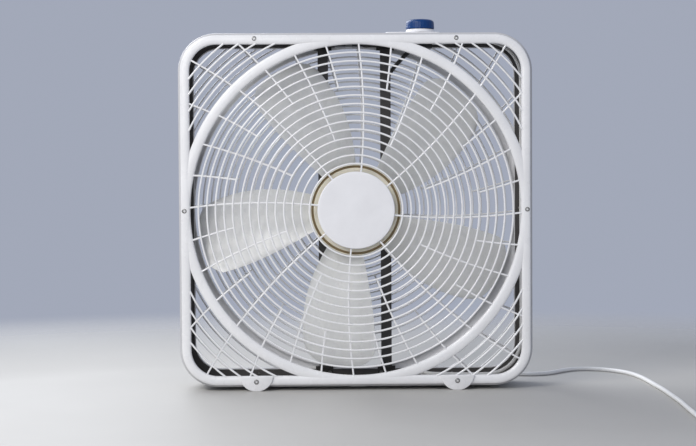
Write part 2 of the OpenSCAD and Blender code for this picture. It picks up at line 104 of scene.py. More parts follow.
SCREW_X = 150 * MM
SCREW_LINE = RIM_OUTER - 5.3 * MM
SCREW_HEAD_R = 3.9 * MM
FOOT_SCREW_HEAD_R = 4.1 * MM
SHANK_R = 1.9 * MM
CORD_D = 6.5 * MM

# ---- Mesh making ----


def place(x, y, h):
    """A point from the fan's own directions: right, up, and out of the front."""
    return (x, -h, CENTRE + y)


def polar(r, degrees):
    a = math.radians(degrees)
    return r * math.cos(a), r * math.sin(a)


def circle(r, steps, x=0, y=0):
    return [(x + u, y + v) for u, v in (polar(r, 360 * i / steps) for i in range(steps))]


def ease(t):
    t = min(max(t, 0.0), 1.0)
    return t * t * (3 - 2 * t)


class Skin:
    """Collects closed shells, then makes them one object."""

    def __init__(self):
        self.points, self.faces, self.slots = [], [], []

    def loft(self, rings, closed=False, slot=0):
        """Joins rings of points: into a loop if closed, else with a flat face at each end."""
        first, n, count = len(self.points), len(rings[0]), len(rings)
        for ring in rings:
            self.points += [tuple(p) for p in ring]
        for i in range(count if closed else count - 1):
            a, b = first + i * n, first + (i + 1) % count * n
            for k in range(n):
                m = (k + 1) % n
                self.faces.append((a + k, a + m, b + m, b + k))
                self.slots.append(slot)
        if not closed:
            last = first + (count - 1) * n
            self.faces += [tuple(range(first + n - 1, first - 1, -1)), tuple(range(last, last + n))]
            self.slots += [slot, slot]

    def make(self, name, body, materials, replaced=(), sharp=38):
        """Makes the object, riding on its body, in place of the CAD nodes it replaces."""
        mesh = bpy.data.meshes.new(name)
        mesh.from_pydata(self.points, [], self.faces)
        for m in materials:
            mesh.materials.append(m)
        mesh.polygons.foreach_set("material_index", self.slots)
        shell = bmesh.new()
        shell.from_mesh(mesh)
        bmesh.ops.recalc_face_normals(shell, faces=shell.faces)
        shell.to_mesh(mesh)
        shell.free()
        mesh.shade_smooth()
        mesh.set_sharp_from_angle(angle=math.radians(sharp))
        piece = bpy.data.objects.new(name, mesh)
        bpy.context.scene.collection.objects.link(piece)
        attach(piece, body)
        if replaced:
            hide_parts(*replaced)
        return piece


def revolve(skin, section, to=place, steps=160, slot=0):
    """Turns a closed section of (radius, height) into a ring; to() places x, y, h."""
    rings = []
    for i in range(steps):
        rings.append([to(*polar(r, 360 * i / steps), h) for r, h in section])
    skin.loft(rings, closed=True, slot=slot)


def lathe(skin, profile, to, steps):
    """Turns an open profile of (radius, height), closed by flat ends; to() places x, y, h."""
    skin.loft([[to(x, y, h) for x, y in circle(r, steps)] for r, h in profile])


def square_path(inner, corner, steps):
    """Corner centre and direction at each step round a rounded square."""
    c = inner - corner
    for side in range(4):
        cx, cy = polar(c * math.sqrt(2), 45 + 90 * side)
        for k in range(steps + 1):
            yield cx, cy, 90 * side + 90 * k / steps


def square_loft(skin, section, inner, corner, steps=14, to=place):
    """Carries a closed section of (outward, height) round a rounded square."""
    rings = []
    for cx, cy, a in square_path(inner, corner, steps):
        ring = []
        for u, h in section:
            x, y = polar(corner + u, a)
            ring.append(to(cx + x, cy + y, h))
        rings.append(ring)
    skin.loft(rings, closed=True)


def rounded(w, d, n=16, power=3.2):
    """A rounded rectangle's outline about its middle."""
    outline = []
    for i in range(n):
        c, s = polar(1, 360 * (i + 0.5) / n)
        outline.append((w / 2 * math.copysign(abs(c) ** (2 / power), c),
                        d / 2 * math.copysign(abs(s) ** (2 / power), s)))
    return outline


def flat_wire(skin, line, h, section, to):
    """A wire along a line of (x, y) in the grille's plane."""
    rings = []
    for i, (x, y) in enumerate(line):
        x0, y0 = line[max(i - 1, 0)]
        x1, y1 = line[min(i + 1, len(line) - 1)]
        d = math.hypot(x1 - x0, y1 - y0)
        nx, ny = (y1 - y0) / d, (x0 - x1) / d
        rings.append([to(x + nx * u, y + ny * u, h + v) for u, v in section])
    skin.loft(rings)


def tube(skin, line, r, sides=16):
    """A round tube along points in space, its rings carried along without twisting."""
    line = [Vector(p) for p in line]
    side = Vector((0, 0, 1))
    rings = []
    for i, p in enumerate(line):
        along = (line[min(i + 1, len(line) - 1)] - line[max(i - 1, 0)]).normalized()
        side = (side - side.dot(along) * along).normalized()
        other = along.cross(side)
        rings.append([p + r * (math.cos(2 * math.pi * k / sides) * side
                               + math.sin(2 * math.pi * k / sides) * other)
                      for k in range(sides)])
    skin.loft(rings)


def smooth_line(points, steps):
    """A Catmull-Rom line through the points."""
    p = [Vector(q) for q in points]
    line = []
    for i in range(len(p) - 1):
        a, b, c, d = p[max(i - 1, 0)], p[i], p[i + 1], p[min(i + 2, len(p) - 1)]
        for k in range(steps):
            t = k / steps
            line.append(0.5 * (2 * b + (c - a) * t + (2 * a - 5 * b + 4 * c - d) * t * t
                               + (3 * b - a - 3 * c + d) * t ** 3))
    return [tuple(q) for q in line + [p[-1]]]


# ---- Materials ----


class Paint:
    """A Principled material with procedural colour, roughness and relief."""

    def __init__(self, name, base, rough, metal=0.0, coat=0.0):
        self.mat = bpy.data.materials.new(name)
        self.mat.use_nodes = True
        self.tree = self.mat.node_tree
        self.shader = self.tree.nodes["Principled BSDF"]
        self.base = base
        self.input("Metallic", metal)
        self.input("Coat Weight", coat)
        self.input("Roughness", rough)
        self.input("Base Color", (*base, 1))
        self.where = self.node("ShaderNodeTexCoord").outputs["Object"]
        self.relief = None
        self.colour = None

    def node(self, kind, **values):
        """Adds a node; a value is a property of the node, or else the default of an input."""
        n = self.tree.nodes.new(kind)
        for k, v in values.items():
            if hasattr(n, k):
                setattr(n, k, v)
            else:
                n.inputs[k.replace("_", " ")].default_value = v
        return n

    def link(self, a, b):
        self.tree.links.new(a, b)

    def input(self, name, value):
        self.shader.inputs[name].default_value = value

    def noise(self, scale, detail=4.0, stretch=None, roughness=0.55):
        n = self.node("ShaderNodeTexNoise")
        n.inputs["Scale"].default_value = scale
        n.inputs["Detail"].default_value = detail
        n.inputs["Roughness"].default_value = roughness
        self.link(self.mapped(stretch), n.inputs["Vector"])
        return n.outputs["Fac"]

    def mapped(self, stretch):
        """Object coordinates, stretched along each axis."""
        if stretch is None:
            return self.where
        m = self.node("ShaderNodeMapping")
        m.inputs["Scale"].default_value = stretch
        self.link(self.where, m.inputs["Vector"])
        return m.outputs["Vector"]

    def span(self, value, low, high, start=0.0, end=1.0):
        """Maps a value's range from start to end onto low to high."""
        m = self.node("ShaderNodeMapRange")
        for name, v in (("From Min", start), ("From Max", end), ("To Min", low), ("To Max", high)):
            m.inputs[name].default_value = v
        self.link(value, m.inputs["Value"])
        return m.outputs["Result"]

    def tint(self, factor, other):
        """Mixes another colour in by a factor; sockets 6 and 7 are the two colours."""
        m = self.node("ShaderNodeMix", data_type="RGBA")
        self.link(factor, m.inputs["Factor"])
        if self.colour is None:
            m.inputs[6].default_value = (*self.base, 1)
        else:
            self.link(self.colour, m.inputs[6])
        m.inputs[7].default_value = (*other, 1)
        self.colour = m.outputs[2]
        self.link(self.colour, self.shader.inputs["Base Color"])
        return self

    def vary_rough(self, value, low, high, start=0.3, end=0.7):
        self.link(self.span(value, low, high, start, end), self.shader.inputs["Roughness"])
        return self

    def bump(self, height, strength, distance):
        """Adds relief on top of any that is there already."""
        b = self.node("ShaderNodeBump")
        b.inputs["Strength"].default_value = strength
        b.inputs["Distance"].default_value = distance
        self.link(height, b.inputs["Height"])
        if self.relief is not None:
            self.link(self.relief, b.inputs["Normal"])
        self.relief = b.outputs["Normal"]
        self.link(self.relief, self.shader.inputs["Normal"])
        return self

    def dust(self, amount, colour=(0.52, 0.49, 0.44)):
        """A little dust on what faces up."""
        up = self.node("ShaderNodeSeparateXYZ")
        self.link(self.node("ShaderNodeNewGeometry").outputs["Normal"], up.inputs[0])
        m = self.node("ShaderNodeMath", operation="MULTIPLY")
        self.link(self.span(up.outputs["Z"], 0.0, amount, 0.35, 1.0), m.inputs[0])
        self.link(self.span(self.noise(60, 6), 0.0, 1.0, 0.35, 0.75), m.inputs[1])
        return self.tint(m.outputs[0], colour)


def shade(colour, k):
    return tuple(min(1.0, c * k) for c in colour)


def moulded(name, base, rough=0.3, dust=0.25, grain=1400, coat=0.0):
    """Moulded plastic: faint flow marks, a fine texture and a little dust."""
    p = Paint(name, base, rough, coat=coat)
    p.tint(p.span(p.noise(18, 5), 0.0, 1.0, 0.38, 0.66), shade(base, 0.94))
    p.vary_rough(p.noise(35, 5), rough - 0.06, rough + 0.1)
    p.bump(p.noise(grain, 2), 0.12, 0.0002)
    p.bump(p.noise(14, 2), 0.08, 0.002)
    if dust:
        p.dust(dust)
    return p


def powder_coat(name, base, rough=0.34, dust=0.3):
    """Painted sheet steel with a fine orange peel."""
    p = Paint(name, base, rough)
    p.tint(p.span(p.noise(9, 5), 0.0, 1.0, 0.4, 0.7), shade(base, 0.95))
    p.vary_rough(p.noise(22, 6), rough - 0.05, rough + 0.12)
    p.bump(p.noise(420, 3), 0.22, 0.0004)
    p.bump(p.noise(5, 2), 0.12, 0.004)
    return p.dust(dust)


def metal(name, base, rough, stretch=(30, 900, 900), detail=0.6):
    """Bare or plated metal with fine drawn lines and stains."""
    p = Paint(name, base, rough, metal=1.0)
    p.tint(p.span(p.noise(60, 6), 0.0, 1.0, 0.45, 0.75), shade(base, detail))
    p.vary_rough(p.noise(1, 3, stretch), rough - 0.08, rough + 0.14)
    p.bump(p.noise(1, 2, stretch), 0.1, 0.0002)
    return p


def braided(name, base, pitch):
    """Woven sleeve: two sets of crossing strands."""
    p = Paint(name, base, 0.62)
    waves = []
    for turn in (0.8, -0.8):
        m = p.node("ShaderNodeMapping")
        m.inputs["Rotation"].default_value = (turn, turn * 0.7, turn)
        p.link(p.where, m.inputs["Vector"])
        w = p.node("ShaderNodeTexWave")
        w.inputs["Scale"].default_value = pitch
        w.inputs["Distortion"].default_value = 0.6
        p.link(m.outputs["Vector"], w.inputs["Vector"])
        waves.append(w.outputs["Fac"])
    top = p.node("ShaderNodeMath", operation="MAXIMUM")
    p.link(waves[0], top.inputs[0])
    p.link(waves[1], top.inputs[1])
    p.tint(p.span(top.outputs[0], 0.0, 0.6, 0.5, 1.0), shade(base, 2.6))
    p.bump(top.outputs[0], 0.7, 0.0005)
    return p


def banded(name, base, other, pitch, axis, rough=0.45):
    """Layers of metal stacked along an axis, such as laminations or turns of wire."""
    p = Paint(name, base, rough, metal=1.0)
    w = p.node("ShaderNodeTexWave", bands_direction=axis)
    w.inputs["Scale"].default_value = pitch
    w.inputs["Distortion"].default_value = 0.25
    p.link(p.where, w.inputs["Vector"])
    p.tint(p.span(w.outputs["Fac"], 0.0, 1.0, 0.2, 0.8), other)
    p.vary_rough(p.noise(90, 4), rough - 0.1, rough + 0.15)
    p.bump(w.outputs["Fac"], 0.5, 0.0003)
    return p


# The white steel is coloured a grey well below the white plastic: partly the paint's own greyer tone,
# partly painted shade for the housing's rolled edge beside the rim.
STEEL_WHITE_WITH_PAINTED_SHADE = (0.52, 0.52, 0.53)

white_steel_with_painted_shade = powder_coat("white_powder_coat_with_painted_shade", STEEL_WHITE_WITH_PAINTED_SHADE).mat
# The inside of the housing band is coloured near black, far darker than the outside.
dark_inside = powder_coat("dark_housing_inside", (0.075, 0.07, 0.068), 0.5, dust=0.5).mat
grille_white = moulded("grille_white_moulding", (0.82, 0.82, 0.825), 0.27, coat=0.15).mat
rear_white = moulded("rear_white_moulding", (0.80, 0.80, 0.81), 0.3, coat=0.1).mat
cap_white = moulded("cap_white_moulding", (0.82, 0.82, 0.835), 0.33, dust=0.0).mat
black_paint = powder_coat("strut_black_paint", (0.035, 0.032, 0.031), 0.42, dust=0.7).mat
# Dark for zinc: partly the plating's own dull grey, partly painted shade, since the screw heads sit in
# shade in their recesses.
zinc_with_painted_shade = metal("zinc_plate_with_painted_shade", (0.30, 0.30, 0.29), 0.36, stretch=(300, 300, 300)).mat
motor_plate = metal("motor_drawn_steel", (0.55, 0.55, 0.55), 0.36, stretch=(60, 800, 60)).mat
ground = metal("ground_steel", (0.66, 0.66, 0.66), 0.2, stretch=(1200, 60, 1200)).mat
brass = metal("plated_brass", (0.78, 0.66, 0.42), 0.24, stretch=(900, 90, 900)).mat
bronze = metal("sintered_bronze", (0.50, 0.33, 0.17), 0.5, stretch=(900, 900, 900)).mat
laminations = banded("laminations", (0.30, 0.30, 0.31), (0.12, 0.11, 0.11), 500, "Y").mat
copper = banded("copper_turns", (0.62, 0.25, 0.09), (0.30, 0.10, 0.03), 520, "Y", 0.35).mat
fibre = moulded("fibre_washer", (0.45, 0.34, 0.2), 0.7, dust=0.0).mat
black_plastic = moulded("black_moulding", (0.028, 0.028, 0.03), 0.4, dust=0.3).mat
sleeve_braid = braided("black_braid", (0.02, 0.02, 0.021), 420).mat
cord_skin = moulded("white_cord_pvc", (0.84, 0.84, 0.83), 0.42, dust=0.15, grain=700).mat
# Painted shade: a dark brown for the hub's face groove, standing in for the shadow in it.
groove_painted_shade = moulded("hub_groove_painted_shade", (0.23, 0.165, 0.075), 0.5, dust=0.0).mat


def milky():
    """Milky translucent moulding, with faint flow lines from the gate."""
    p = moulded("milky_blade_moulding", (0.78, 0.785, 0.775), 0.26, dust=0.0)
    p.input("Subsurface Weight", 0.25)
    p.input("Subsurface Radius", (0.006, 0.006, 0.007))
    p.tint(p.span(p.noise(30, 6, (1, 4, 1)), 0.0, 0.6, 0.45, 0.8), (0.70, 0.70, 0.69))
    return p.mat


def ivory():
    """Ivory hub moulding, slightly translucent."""
    p = moulded("ivory_hub_moulding", (0.88, 0.83, 0.69), 0.3, dust=0.0)
    p.input("Subsurface Weight", 0.15)
    p.input("Subsurface Radius", (0.004, 0.003, 0.002))
    return p.mat


def navy():
    """Navy knob: semi-gloss, with paler patches spread at random over it."""
    p = Paint("navy_knob_moulding", (0.001, 0.036, 0.15), 0.26)
    p.input("Specular IOR Level", 0.32)
    p.tint(p.span(p.noise(120, 6), 0.0, 0.5, 0.5, 0.8), (0.003, 0.05, 0.2))
    p.vary_rough(p.noise(160, 5), 0.22, 0.42)
    p.bump(p.noise(1500, 2), 0.15, 0.0002)
    return p.mat


milky_blade = milky()
ivory_hub = ivory()
navy_knob = navy()

# ---- Camera ----

EYE = Vector((-0.057, -2.518, 0.330))
YAW, PITCH, ROLL = math.radians(1.04), math.radians(1.858), math.radians(-0.313)
LENS = 85.7


def make_camera():
    """A camera at EYE, turned right by YAW, down by PITCH and about its own line by ROLL."""
    ahead = Vector((math.sin(YAW) * math.cos(PITCH), math.cos(YAW) * math.cos(PITCH),
                    -math.sin(PITCH)))
    level = Vector((math.cos(YAW), -math.sin(YAW), 0))
    up = level.cross(ahead)
    right = math.cos(ROLL) * level + math.sin(ROLL) * up
    up = right.cross(ahead)
    data = bpy.data.cameras.new("camera")
    data.lens = LENS
    data.sensor_width = 36
    camera = bpy.data.objects.new("camera", data)
    turn = Matrix((right, up, -ahead)).transposed().to_4x4()
    camera.matrix_world = Matrix.Translation(EYE) @ turn
    bpy.context.scene.collection.objects.link(camera)
    bpy.context.scene.camera = camera


make_camera()

# ---- Supply cord ----

CORD_ROUTE = [
    (105, 84.5, 15), (105, 97, 15), (105.5, 111, 14), (108, 124, 11.4), (113, 136, 8.2),
    (121, 146, 5.3), (133, 152, 3.6), (149, 153, 3.3), (168, 148, 3.3), (190, 138, 3.3),
    (214, 125, 3.3), (238, 112, 3.3), (262, 103, 3.3), (285, 101, 3.3), (306, 109, 3.3),
    (322, 125, 3.3), (337, 144, 3.3), (355, 159, 3.3), (377, 163, 3.3), (399, 155, 3.3),
    (418, 138, 3.3), (432, 115, 3.3), (441, 85, 3.3), (446, 45, 3.3), (448, 0, 3.3),
    (449, -50, 3.3), (450, -105, 3.3), (449, -160, 3.3), (448, -215, 3.3), (445, -270, 3.3),
    (442, -325, 3.3), (440, -370, 3.3), (439.5, -405, 3.3), (439.7, -440, 3.3),
]
CORD_Z = 3.3 * MM
COIL_X, COIL_Y, _ = middle(COIL)
COIL_R = COIL[1].x - COIL_X - CORD_D
COIL_START = 180
COIL_TURNS = 3.5
COIL_STEP = 10
CROSSING = 60


def coil_point(a):
    """The cord at an angle of the coil, whose turns go outer low, inner low, inner high, outer high."""
    turn = (a - COIL_START) / 360

    def at(layer):
        """0 before a layer is reached and 1 after, eased over the crossing."""
        return ease((turn - layer) * 360 / CROSSING + 1)

    r = COIL_R + CORD_D * (0.5 - at(1) + at(3))
    z = CORD_Z + CORD_D * at(2)
    x, y = polar(r, a)
    return COIL_X + x, COIL_Y + y, z


def make_cord():
    """The cord from its exit, along the given route, round the coil and into the plug."""
    line = smooth_line([[v * MM for v in p] for p in CORD_ROUTE], 4)[:-1]
    steps = int(COIL_TURNS * 360 / COIL_STEP)
    line += [coil_point(COIL_START + COIL_STEP * i) for i in range(steps + 1)]
    x, y, z = line[-1]
    neck = middle(PLUG)[2]
    line += [(x, y + d * MM, z + (neck - z) * ease(d / 15)) for d in (4, 8, 12, 16, 20)]
    skin = Skin()
    tube(skin, line, CORD_D / 2, 16)
    cord = skin.make("supply_cord", "fan_body", [cord_skin],
                     ("cord_tube", "cord_coil"))
    return cord, line


def make_boot():
    """Tapered strain relief with bending ribs."""
    x, _, z = middle(BOOT)
    start, end = CROWN, BOOT[1].y
    profile = [(5.3 * MM, BOOT[0].y), (5.4 * MM, start - 0.5 * MM), (6.6 * MM, start),
               (7 * MM, start + 0.5 * MM), (7 * MM, start + 1.6 * MM), (6.5 * MM, start + 2 * MM)]
    ribs = 7
    for i in range(ribs * 8 + 1):
        t = i / (ribs * 8)
        wave = 0.5 * MM * max(0.0, math.sin(2 * math.pi * ribs * t)) if t < 0.95 else 0
        profile.append(((5.4 - 1.4 * t) * MM - wave, start + 2 * MM + t * (end - start - 2 * MM)))
    skin = Skin()
    lathe(skin, profile, lambda a, b, h: (x + a, h, z + b), 40)
    return skin.make("cord_strain_relief", "fan_body", [cord_skin], ("cord_boot",))


def make_plug():
    """Moulded plug: stations of distance along it, half width, half height and squareness."""
    x, _, neck = middle(PLUG)
    low, high = PLUG[0].y, PLUG[1].y
    skin = Skin()
    rings = []
    stations = [(0, 4.1, 4.1, 2), (2, 4.4, 4.4, 2), (3.4, 3.9, 3.9, 2), (5, 4.7, 4.7, 2),
                (6.4, 4.2, 4.2, 2), (8, 5.0, 5.0, 2), (9.4, 4.5, 4.5, 2), (11, 5.3, 5.2, 2),
                (13, 6.6, 5.7, 2.3), (15.5, 9.3, 6.3, 2.8), (18, 11.2, 6.7, 3.2),
                (21, 11.9, 6.9, 3.6), (24, 11.8, 6.8, 3.8), (27, 10.9, 6.2, 3.8),
                (29.5, 10.6, 6.0, 3.8), (32.5, 11.0, 6.4, 4), (36.2, 11.0, 6.5, 4.4),
                (37.6, 10.6, 6.1, 4.4), (38, 9.9, 5.5, 4.4)]
    for y, w, h, power in stations:
        rings.append([(x + u, low + (high - low) * y / stations[-1][0], neck + v)
                      for u, v in rounded(2 * w * MM, 2 * h * MM, 40, power)])
    skin.loft(rings)
    return skin.make("plug_moulding", "fan_body", [cord_skin], ("plug_body",), 60)


def make_prongs():
    """Two flat blades with rounded tips and a hole near each tip."""
    skin = Skin()
    y0, y1 = PRONGS[0].y - 1 * MM, PRONGS[1].y
    z0, z1 = PRONGS[0].z, PRONGS[1].z
    mid, wide = (z0 + z1) / 2, (z1 - z0) / 2
    thick, bevel = 1.5 * MM, 0.25 * MM
    hole_y, hole_r = y1 - 4.2 * MM, 1.6 * MM
    steps = 40
    for side in (PRONGS[0].x, PRONGS[1].x - thick):
        outer, hole = [], []
        for i in range(steps):
            c, s = polar(1, 360 * (i + 0.5) / steps)
            hole.append((hole_y + hole_r * c, mid + hole_r * s))
            reach = min(((y1 if c > 0 else y0) - hole_y) / c if abs(c) > 1e-6 else 9,
                        wide / abs(s))
            yy, zz = hole_y + reach * c, reach * s
            if c > 0:
                zz *= 1 - 0.35 * ease((yy - (y1 - 2 * MM)) / (2 * MM))
            outer.append((yy, mid + zz))
        first = len(skin.points)
        for t, d in ((0.0, bevel), (bevel, 0), (thick - bevel, 0), (thick, bevel)):
            for yy, zz in outer:
                skin.points.append((side + t, yy - math.copysign(d, yy - hole_y),
                                    zz - math.copysign(d, zz - mid)))
        for t in (thick, 0.0):
            skin.points += [(side + t, yy, zz) for yy, zz in hole]
        for i in range(6):
            for k in range(steps):
                m = (k + 1) % steps
                a, b = first + i * steps, first + (i + 1) % 6 * steps
                skin.faces.append((a + k, a + m, b + m, b + k))
                skin.slots.append(0)
    return skin.make("plug_prongs", "fan_body", [brass], ("plug_blades",))


def make_tie():
    """A flat strap looped once round the coiled turns."""
    skin = Skin()
    x, y, z = middle(TIE)
    wide, high = TIE[1].y - TIE[0].y, TIE[1].z - TIE[0].z
    half, walls = 3.4 * MM, 1.2 * MM
    steps = 48
    outer = rounded(wide, high, steps, 4.5)
    inner = rounded(wide - walls, high - walls, steps, 4.5)
    for k in range(steps):
        for d, (u, v) in ((-half, outer[k]), (half, outer[k]), (half, inner[k]), (-half, inner[k])):
            skin.points.append((x + d, y + u, z + v))
        for j in range(4):
            a, b = 4 * k, 4 * ((k + 1) % steps)
            skin.faces.append((a + j, a + (j + 1) % 4, b + (j + 1) % 4, b + j))
            skin.slots.append(0)
    return skin.make("coil_tie", "fan_body", [sleeve_braid], ("cord_tie",))


cord, cord_line = make_cord()
cord_pieces = [make_boot(), make_plug(), make_prongs(), make_tie()]

# ---- Grilles ----


def pillow(w, edge, crown, n=14, power=0.62):
    """A hollow moulded section: straight sides, a full round top and an open back."""
    top = [(w / 2 - w / 2 * math.cos(math.pi * i / n),
            edge + (crown - edge) * math.sin(math.pi * i / n) ** power) for i in range(n + 1)]
    wall = 2 * MM
    under = [(min(max(u, wall), w - wall), h - wall) for u, h in reversed(top)]
    return [(0, 0)] + top + [(w, 0), (w - wall, 0)] + under + [(wall, 0)]


def spoke_line(number, start, end, curve, square, steps=14):
    """A spoke on a circle through the axis; it crosses the square radius at its own angle."""
    lead = math.degrees(math.asin(square / (2 * curve)))
    line = []
    for i in range(steps + 1):
        r = start + (end - start) * i / steps
        angle = 360 / SPOKES * number - lead + math.degrees(math.asin(r / (2 * curve)))
        line.append(polar(r, angle))
    return line


def in_square(x, y, inner, corner):
    """Whether a point lies inside a rounded square."""
    c = inner - corner
    dx, dy = abs(x) - c, abs(y) - c
    return (max(dx, dy) < corner) if min(dx, dy) < 0 else math.hypot(dx, dy) < corner


def corner_reach(number):
    """Where a corner spoke meets the rim."""
    r = HOOP_R + HOOP_W
    while in_square(*spoke_line(number, r, r, CORNER_CURVE, CORNER_SQUARE, 1)[0],
                    RIM_INNER + 1 * MM, RIM_CORNER + 1 * MM):
        r += 0.5 * MM
    return r


def grille_rim(skin, to):
    rim = [(u, SEAT + h) for u, h in pillow(RIM_W, 4.6 * MM, CROWN - SEAT)]
    square_loft(skin, rim, RIM_INNER, RIM_CORNER, to=to)


def grille_hoop(skin, to, steps=240):
    """The large ring band, cut short where it would pass the square rim."""
    hoop = pillow(HOOP_W, 3.4 * MM, CROWN - SEAT - 0.9 * MM)
    rings = []
    for i in range(steps):
        c, s = polar(1, 360 * i / steps)
        reach = min(HOOP_W, (RIM_OUTER - 1 * MM) / max(abs(c), abs(s)) - HOOP_R)
        band = [(HOOP_R + u * reach / HOOP_W, SEAT + 0.5 * MM + h) for u, h in hoop]
        rings.append([to(c * r, s * r, h) for r, h in band])
    skin.loft(rings, closed=True)


def grille(skin, disc_r, first_ring, to):
    """Rim, ring band, rings and spokes; the spokes reach in to a disc or stop at a ring."""
    grille_rim(skin, to)
    grille_hoop(skin, to)
    ring_h, spoke_h = SEAT + 5.5 * MM, SEAT + 4.5 * MM
    wire = rounded(WIRE_W, WIRE_D, 12)
    for i in range(first_ring, RING_COUNT):
        r = RING_FIRST + RING_PITCH * i
        revolve(skin, [(r + u, ring_h + v) for u, v in wire], to, 180)
    for n in range(SPOKES):
        start = (disc_r - 2 * MM if n % 4 == 0 else
                 RING_FIRST + (3 if n % 4 == 2 else 9) * RING_PITCH)
        flat_wire(skin, spoke_line(n, start, HOOP_R + 1 * MM, SPOKE_CURVE, SPOKE_SQUARE),
                  spoke_h, wire, to)
    for quarter in range(4):
        for n in (3, 4, 5):
            number = 8 * quarter + n
            line = spoke_line(number, HOOP_R + HOOP_W - 5 * MM, corner_reach(number),
                              CORNER_CURVE, CORNER_SQUARE, 8)
            flat_wire(skin, line, spoke_h, wire, to)
        for i in range(4):
            r = CORNER_FIRST + CORNER_PITCH * i
            spread = 45 - math.degrees(math.acos((RIM_INNER + 1 * MM) / r))
            diagonal = 45 + 90 * quarter
            line = [polar(r, diagonal - spread + 2 * spread * k / 24) for k in range(25)]
            flat_wire(skin, line, ring_h, wire, to)


def rear_place(x, y, h):
    """As place(), with the height measured towards the back."""
    return place(x, y, -h)


def make_grilles():
    front = Skin()
    grille(front, CAP_R, 0, place)
    h = SEAT + 2 * MM
    revolve(front, [(CAP_R - 8 * MM, h), (CAP_R - 1.2 * MM, h), (CAP_R - 0.6 * MM, h + 0.6 * MM),
                    (CAP_R - 0.6 * MM, h + 5 * MM), (CAP_R - 8 * MM, h + 5 * MM)])
    front.make("front_grille_moulding", "fan_body", [grille_white],
               ("front_grille",))
    rear = Skin()
    grille(rear, REAR_DISC_R, 1, rear_place)
    r, h = REAR_DISC_R, SEAT + 2.5 * MM
    profile = [(0.4 * MM, h), (r - 1.2 * MM, h), (r, h + 1.2 * MM), (r, h + 3.2 * MM),
               (r - 0.8 * MM, h + 4 * MM), (r - 5 * MM, h + 4 * MM), (r - 6 * MM, h + 3.4 * MM),
               (r - 16 * MM, h + 3.4 * MM), (r - 17 * MM, h + 4 * MM), (0.4 * MM, h + 4 * MM)]
    lathe(rear, profile, rear_place, 128)
    x, _, z = middle(BOOT)
    revolve(rear, [(5.5 * MM, SEAT), (7 * MM, SEAT), (7 * MM, CROWN - 0.4 * MM),
                   (6.6 * MM, CROWN), (5.5 * MM, CROWN)],
            lambda a, b, h: rear_place(x + a, z - CENTRE + b, h), 40)
    rear.make("rear_grille_moulding", "fan_body", [rear_white], ("rear_grille",))


make_grilles()


def make_cap():
    """The plain round cap: a hair of crown on its face and a soft edge."""
    skin = Skin()
    back, face = SEAT + 7 * MM, -CAP[0].y
    profile = [(0.3 * MM, back), (CAP_R - 0.8 * MM, back)]
    profile += [(CAP_R - 1.2 * MM + x, (back + face) / 2 - 0.2 * MM + y) for x, y in
                (polar(1.2 * MM, a) for a in range(-60, 91, 15))]
    top = profile[-1][1]
    for i in range(1, 13):
        t = 1 - i / 12
        r = max((CAP_R - 1.2 * MM) * t, 0.3 * MM)
        profile.append((r, top + (face - top) * (1 - t * t)))
    lathe(skin, profile, place, 160)
    skin.make("front_cap_disc", "fan_body", [cap_white], ("front_cap",))


make_cap()

# ---- Housing ----


def band_section():
    """The rolled sheet, as (outward, height) with the outside first."""
    w, z, inner = FLANGE_W, SEAT, ROLL_R - SHEET
    out = [(0, z)] + [(w - ROLL_R + a, z - ROLL_R + b) for a, b in
                      (polar(ROLL_R, 90 - 15 * i) for i in range(7))]
    out += [(w - ROLL_R + a, ROLL_R - z + b) for a, b in
            (polar(ROLL_R, -15 * i) for i in range(7))] + [(0, -z)]
    back = [(0, SHEET - z)] + [(w - ROLL_R + a, ROLL_R - z + b) for a, b in
                               (polar(inner, -90 + 15 * i) for i in range(7))]
    back += [(w - ROLL_R + a, z - ROLL_R + b) for a, b in
             (polar(inner, 15 * i) for i in range(7))] + [(0, z - SHEET)]
    return out, back


def make_housing():
    out, back = band_section()
    skin = Skin()
    section = out + back
    square_loft(skin, section, HALF - FLANGE_W, BAND_CORNER - FLANGE_W, 20)
    n, outside = len(section), len(out) - 1
    skin.slots = [0 if i % n < outside else 1 for i in range(len(skin.slots))]
    skin.make("steel_housing", "fan_body", [white_steel_with_painted_shade, dark_inside],
              ("housing_band",))


make_housing()


def make_seam():
    """The overlapped joint of the steel band, under the housing."""
    skin = Skin()
    outline = rounded(26 * MM, 2 * SEAT - 2 * ROLL_R, 40, 12)
    z = BAND[0].z
    skin.loft([[(x, y, z + d) for x, y in outline] for d in (0.4 * MM, -0.2 * MM)]
              + [[(x * 0.98, y * 0.995, z - 0.5 * MM) for x, y in outline]])
    skin.make("band_seam", "fan_body", [white_steel_with_painted_shade])


make_seam()

# ---- Screws ----


def screw_head(skin, x, y, h, r, height, to=place, turn=20):
    """A pan head with a cross recess, made on a polar grid."""
    steps, rows = 48, 17
    rings = [[to(u, v, h) for u, v in circle(r * 0.99, steps, x, y)]]
    for j in range(rows):
        q = 1 - j / rows
        ring = []
        for i in range(steps):
            a = 360 * i / steps
            u, v = polar(r * q, a)
            du, dv = polar(r * q, a + turn)
            arm = min(abs(du), abs(dv)) / (0.16 * r)
            reach = max(abs(du), abs(dv)) / (0.58 * r)
            sunk = ease(1.6 - arm) * ease((1 - reach) * 4)
            dome = height * (1 - 0.32 * q * q - 0.5 * max(0.0, q - 0.8) / 0.2 * q)
            ring.append(to(x + u, y + v, h + dome - sunk * height * 0.7))
        rings.append(ring)
    skin.loft(rings)


